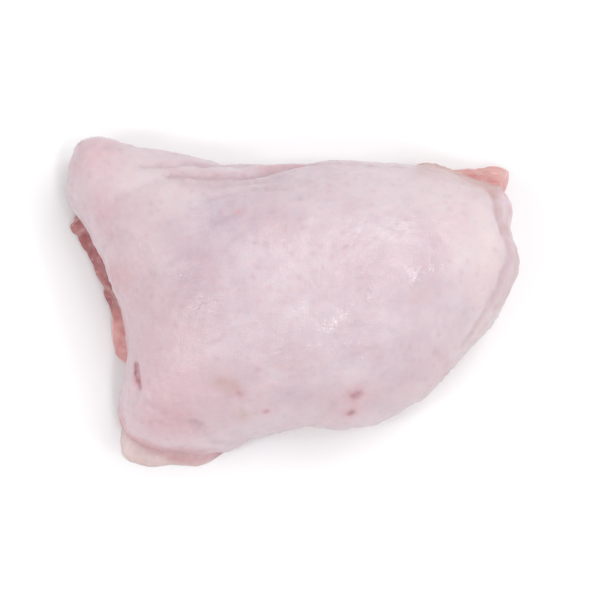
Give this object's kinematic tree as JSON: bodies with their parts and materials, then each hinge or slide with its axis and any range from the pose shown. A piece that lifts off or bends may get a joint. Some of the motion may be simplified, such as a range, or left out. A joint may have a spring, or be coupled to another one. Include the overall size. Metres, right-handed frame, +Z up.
{
  "type": "raw chicken thigh",
  "caption": "Raw chicken thigh cut with its pale skin wrapped over pink flesh, a domed top, a drawn-out hip corner, a loose flap of skin and a flat underside.",
  "frame": {"origin": "on the floor under the middle of the bounding box", "axes": "+X along the thigh from the hip end to the knee end, +Y to the far side, +Z up from the flat underside"},
  "size_m": [0.128, 0.0934, 0.0422],
  "materials": {
    "flesh": "moist raw poultry flesh, softly glossy",
    "skin": "moist pale raw poultry skin with fine follicles, softly glossy"
  },
  "bodies": {
    "root": {"flesh": "flesh", "skin": "skin"}
  },
  "joints": []
}
